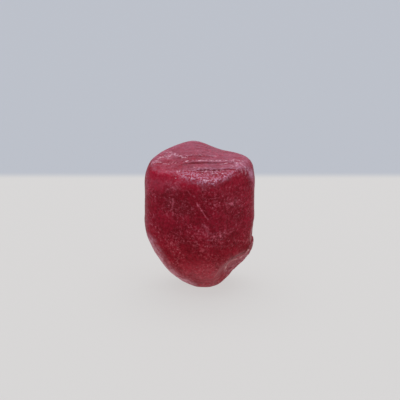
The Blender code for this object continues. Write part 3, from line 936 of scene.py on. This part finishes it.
def ruby_finish(settings):
    finish, tree, shader, place = new_material("worn_ruby")
    clouds, specks = clouds_group(), specks_group()

    patches = use_group(tree, clouds, 0, 0, Place=place, Size=2.6, Detail=2.0, Low=0.35, High=0.65)
    mottle = use_group(tree, clouds, 0, 1, Place=place, Size=0.6, Detail=4.0, Low=0.34, High=0.66)
    grain = use_group(tree, clouds, 0, 2, Place=place, Size=0.24, Detail=2.0, Low=0.36, High=0.64)
    # painted light and shade: the stone painted brighter or darker where more or less light would come back out
    painted_light_and_shade = raw_mask(tree, "painted_light_and_shade", 0, 3)
    # the red varies at random in patches, mottle and grain, and with the painted light and shade
    tone_and_painted_light = weighed(tree, 2, 0, ((patches, 0.22), (mottle, 0.24), (grain, 0.3), (painted_light_and_shade, 0.5)))
    tone_and_painted_light = math_node(tree, "SUBTRACT", 6, 0, tone_and_painted_light, 0.03, clamp=True)
    stone = mix_colour(tree, tone_and_painted_light, settings.deep_red, settings.bright_red, 7, 0)

    region = use_group(tree, clouds, 0, 10, Place=place, Size=2.0, Detail=2.0, Low=0.4, High=0.62)
    rosy = raw_mask(tree, "rosy", 0, 14)
    crinkle = use_group(tree, clouds, 0, 11, Place=place, Size=0.3, Detail=1.0, Low=0.54, High=0.66)
    threads = use_group(tree, threads_group(), 0, 12, Place=place, Size=0.5, Width=0.035)
    dust = use_group(tree, specks, 0, 13, Place=place, Spacing=0.3, Width=0.62, Share=0.3)
    rose = weighed(tree, 2, 10, ((crinkle, 0.45), (threads, 0.4), (dust, 1.3), (rosy, 0.1)), clamp=True)
    crowded = weighed(tree, 4, 11, ((region, 0.6), (rosy, 0.8)))
    rose = math_node(tree, "MULTIPLY", 6, 10, rose, math_node(tree, "ADD", 6, 11, crowded, 0.12), clamp=True)
    stone = mix_colour(tree, rose, stone, settings.rose, 8, 0)

    edge = mask(tree, "edge", 0, 4, 0.2, 1.4)
    rim = mask(tree, "rim", 0, 5, 0.3, 2.0)
    # frost on the cap, partly painted sheen: faces turned up are painted paler, as the light from above catches
    # them
    upward = mask(tree, "upward", 0, 6, 0.55, 1.0)
    # painted reflection of the pale floor on faces turned down
    painted_floor_reflection = mask(tree, "upward", 0, 7, -0.1, -0.7)
    broken = use_group(tree, clouds, 0, 15, Place=place, Size=0.5, Detail=4.0, Low=0.36, High=0.62)
    broken = math_node(tree, "MULTIPLY_ADD", 1, 15, broken, 0.9, 0.4)
    marks = math_node(tree, "MULTIPLY", 1, 8, raw_mask(tree, "frost", 0, 8), broken)
    sparkle = mask(tree, "sparkle", 0, 9, 0.0, 1.0)
    frost_and_sheen = weighed(
        tree, 3, 4, ((edge, 0.22), (rim, 0.22), (upward, 0.28), (painted_floor_reflection, 0.12), (marks, 0.5), (sparkle, 0.03))
    )
    drawn_out = add_node(tree, "ShaderNodeVectorMath", 6, 5, {0: place, 1: (0.35, 1.0, 1.0)}, operation="MULTIPLY")
    uneven = use_group(tree, clouds, 7, 5, Place=drawn_out.outputs[0], Size=0.5, Detail=4.0, Low=0.3, High=0.68)
    patchy = math_node(tree, "MULTIPLY_ADD", 8, 5, uneven, 0.75, 0.62)
    crystals = use_group(tree, clouds, 7, 6, Place=place, Size=0.26, Detail=1.0, Low=0.4, High=0.66)
    crystals = math_node(tree, "MULTIPLY_ADD", 8, 6, crystals, 1.6, 0.2)
    patchy = mix_value(tree, sparkle, patchy, crystals, 9, 5)
    frost_and_sheen = math_node(tree, "MULTIPLY", 10, 4, frost_and_sheen, patchy, clamp=True)
    with_frost_and_sheen = mix_colour(tree, frost_and_sheen, stone, settings.frost, 11, 0)

    # painted glints and highlights: bright specks where they crowd, and the thin pale lines broken into dots
    glints = use_group(tree, specks, 7, 7, Place=place, Spacing=0.25, Width=0.66, Share=0.5)
    glints = math_node(tree, "MULTIPLY", 8, 7, glints, math_node(tree, "MULTIPLY", 7, 8, sparkle, 1.0))
    dotted = use_group(tree, clouds, 7, 9, Place=place, Size=0.24, Detail=1.0, Low=0.44, High=0.6)
    highlight_lines = math_node(tree, "MULTIPLY", 8, 9, math_node(tree, "MULTIPLY", 7, 10, raw_mask(tree, "line", 6, 10), 0.65), dotted)
    glints = math_node(tree, "ADD", 9, 7, glints, highlight_lines, clamp=True)
    speckled = mix_colour(tree, glints, with_frost_and_sheen, settings.glint, 12, 0)
    # painted shade: hollows in the fine relief darkened towards the deep red
    hollow = mask(tree, "rim", 9, 8, -0.5, -3.0)
    shaded = mix_colour(tree, math_node(tree, "MULTIPLY", 11, 8, hollow, 0.5), speckled, settings.deep_red, 13, 0)
    # painted warmer light on the lower half, growing from 9.5 mm down to 4.5 mm
    parts = add_node(tree, "ShaderNodeSeparateXYZ", 12, 1, {"Vector": place})
    low = add_node(
        tree,
        "ShaderNodeMapRange",
        13,
        1,
        {"Value": parts.outputs["Z"], "From Min": 9.5, "From Max": 4.5},
        interpolation_type="SMOOTHSTEP",
    )
    with_low_light_tint = mix_colour(tree, low.outputs["Result"], shaded, settings.low_light_tint, 14, 0, blend_type="MULTIPLY")
    tree.links.new(with_low_light_tint, shader.inputs["Base Color"])
    light = math_node(tree, "ADD", 10, 7, rose, glints)

    rough = add_node(tree, "ShaderNodeMapRange", 11, 3, {"Value": frost_and_sheen, "To Min": 0.38, "To Max": 0.6})
    tree.links.new(rough.outputs["Result"], shader.inputs["Roughness"])
    shader.inputs["IOR"].default_value = 1.77
    shader.inputs["Specular IOR Level"].default_value = 0.035
    height = weighed(tree, 10, 5, ((mottle, 1.0), (grain, 0.5), (light, 0.5)))
    bump = add_node(
        tree, "ShaderNodeBump", 13, 5, {"Height": height, "Strength": 0.6, "Distance": 0.05 * MM}
    )
    tree.links.new(bump.outputs["Normal"], shader.inputs["Normal"])
    return finish


def floor_finish(settings):
    finish, tree, shader, place = new_material("pale_floor")
    parts = add_node(tree, "ShaderNodeSeparateXYZ", 0, 0, {"Vector": place})
    behind = add_node(
        tree,
        "ShaderNodeMapRange",
        1,
        0,
        {"Value": parts.outputs["Y"], "From Min": 36.5, "From Max": 39.5},
        interpolation_type="SMOOTHSTEP",
    )
    colour = mix_colour(tree, behind.outputs["Result"], settings.floor, settings.far_floor, 2, 0)
    tree.links.new(colour, shader.inputs["Base Color"])
    tree.links.new(colour, shader.inputs["Emission Color"])
    shader.inputs["Emission Strength"].default_value = settings.floor_glow
    shader.inputs["Roughness"].default_value = 0.7
    shader.inputs["Specular IOR Level"].default_value = 0.2
    return finish


class RUBY_OT_make_stone(bpy.types.Operator):
    """Cut, wear and finish the ruby crystal"""

    bl_idname = "ruby_crystal.make_stone"
    bl_label = "Ruby Crystal"

    def execute(self, context):
        settings = context.scene.ruby_stone
        stone = add_block()
        cut_faces()
        even_grid(stone, settings.grid)
        carve(stone.data, settings)
        cut_foot()
        centre(stone.data)
        bpy.ops.object.shade_smooth_by_angle(angle=math.radians(60.0))
        mark_stone(stone.data)
        stone.data.materials.append(ruby_finish(settings))
        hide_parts("ruby_crystal")
        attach(stone, "root")
        return {"FINISHED"}


class RUBY_OT_set_stage(bpy.types.Operator):
    """Lay the floor and set the light and the camera"""

    bl_idname = "ruby_crystal.set_stage"
    bl_label = "Floor, Light and Camera"

    def execute(self, context):
        settings = context.scene.ruby_stage
        bpy.ops.object.select_all(action="DESELECT")
        bpy.ops.mesh.primitive_plane_add(size=6.0, location=(0.0, 0.0, 0.0))
        floor = context.active_object
        floor.name = "floor"
        floor.data.materials.append(floor_finish(settings))

        world = bpy.data.worlds.new("room")
        world.use_nodes = True
        world.node_tree.nodes["Background"].inputs["Color"].default_value = (*settings.room, 1.0)
        context.scene.world = world

        bpy.ops.object.light_add(type="AREA", location=(0.0, 0.12, 0.5))
        lamp = context.active_object
        lamp.name = "overhead"
        lamp.data.shape = "RECTANGLE"
        lamp.data.size = 0.6
        lamp.data.size_y = 0.5
        lamp.data.energy = settings.overhead
        lamp.rotation_euler = (-math.atan2(0.12, 0.5), 0.0, 0.0)

        back = Vector((0.0, -math.cos(settings.pitch), math.sin(settings.pitch)))
        place = Vector(settings.aim) + back * settings.distance
        bpy.ops.object.camera_add(location=place, rotation=(math.pi / 2 - settings.pitch, 0.0, 0.0))
        camera = context.active_object
        camera.name = "camera"
        camera.data.lens = settings.focal_length
        camera.data.sensor_width = 36.0
        camera.data.clip_start = 0.01
        context.scene.camera = camera
        context.scene.view_settings.view_transform = "Standard"
        return {"FINISHED"}


class RUBY_PT_sidebar(bpy.types.Panel):
    """The crystal's settings and the buttons that make it"""

    bl_idname = "RUBY_PT_sidebar"
    bl_label = "Raw Ruby Crystal"
    bl_space_type = "VIEW_3D"
    bl_region_type = "UI"
    bl_category = "Ruby"

    def draw(self, context):
        for settings, operator in (
            (context.scene.ruby_stone, RUBY_OT_make_stone),
            (context.scene.ruby_stage, RUBY_OT_set_stage),
        ):
            column = self.layout.column(align=True)
            for name in settings.__annotations__:
                column.prop(settings, name)
            column.operator(operator.bl_idname)


CLASSES = (
    RubyStoneSettings,
    RubyStageSettings,
    RUBY_OT_make_stone,
    RUBY_OT_set_stage,
    RUBY_PT_sidebar,
)


def register():
    for kind in CLASSES:
        bpy.utils.register_class(kind)
    bpy.types.Scene.ruby_stone = PointerProperty(type=RubyStoneSettings)
    bpy.types.Scene.ruby_stage = PointerProperty(type=RubyStageSettings)


def unregister():
    del bpy.types.Scene.ruby_stage
    del bpy.types.Scene.ruby_stone
    for kind in reversed(CLASSES):
        bpy.utils.unregister_class(kind)


def main():
    register()
    bpy.ops.ruby_crystal.make_stone()
    bpy.ops.ruby_crystal.set_stage()


if __name__ == "__main__":
    main()
